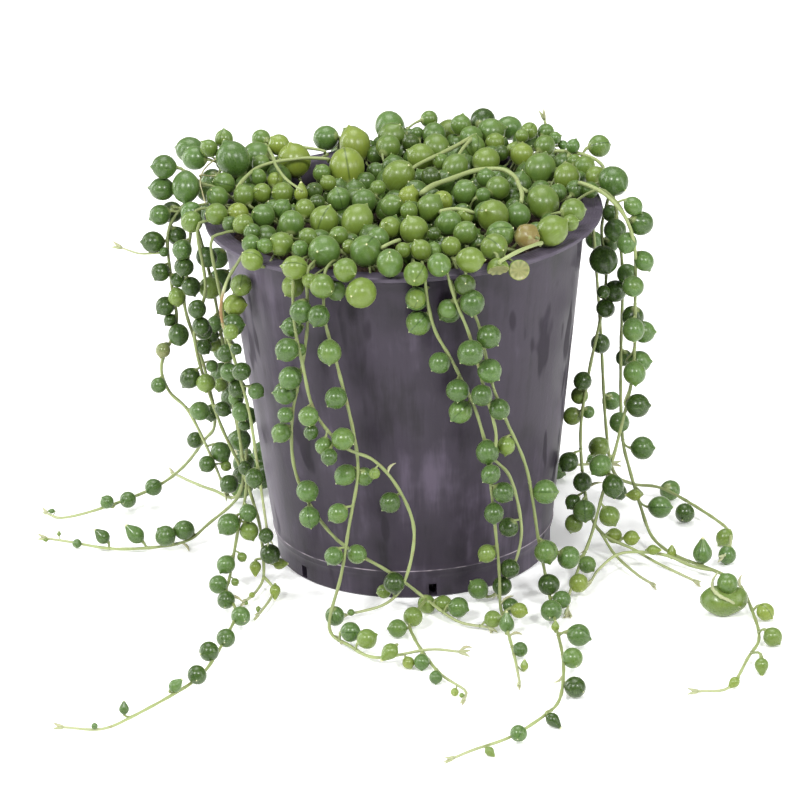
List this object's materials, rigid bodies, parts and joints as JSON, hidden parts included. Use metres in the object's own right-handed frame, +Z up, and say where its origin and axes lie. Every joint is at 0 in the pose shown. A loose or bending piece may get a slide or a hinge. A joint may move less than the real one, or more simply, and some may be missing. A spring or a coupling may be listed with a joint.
{
  "type": "potted string of pearls",
  "caption": "String of pearls in a round plastic nursery pot, with a dense mat of round leaves over the rim and beaded stems that hang down and trail over the surface around it.",
  "frame": {"origin": "middle of the pot's base, on the surface it stands on", "axes": "+Z up along the pot's axis; -Y is the front, the side the picture shows; +X is the picture's right"},
  "size_m": [0.2204, 0.2509, 0.1294],
  "materials": {
    "pot_plastic": "satin",
    "potting_soil": "matte",
    "plant_mat": "satin",
    "plant_left": "satin",
    "plant_front": "satin",
    "plant_right": "satin",
    "plant_back": "satin"
  },
  "bodies": {
    "root": {"pot": "pot_plastic", "soil": "potting_soil", "trail_left_1": "plant_left", "trail_left_2": "plant_left", "trail_left_3": "plant_left", "trail_left_4": "plant_left", "trail_left_5": "plant_left", "trail_left_6": "plant_left", "trail_front_1": "plant_front", "trail_front_2": "plant_front", "trail_front_3": "plant_front", "trail_front_4": "plant_front", "trail_front_5": "plant_front", "trail_front_6": "plant_front", "trail_right_1": "plant_right", "trail_right_2": "plant_right", "trail_right_3": "plant_right", "trail_right_4": "plant_right", "trail_back_1": "plant_back", "trail_back_2": "plant_back", "trail_back_3": "plant_back", "trail_back_4": "plant_back", "trail_back_5": "plant_back", "trail_back_6": "plant_back", "mat_clump_1": "plant_mat", "mat_clump_2": "plant_mat", "mat_clump_3": "plant_mat", "mat_clump_4": "plant_mat", "mat_clump_5": "plant_mat", "mat_clump_6": "plant_mat", "mat_clump_7": "plant_mat"}
  },
  "joints": []
}
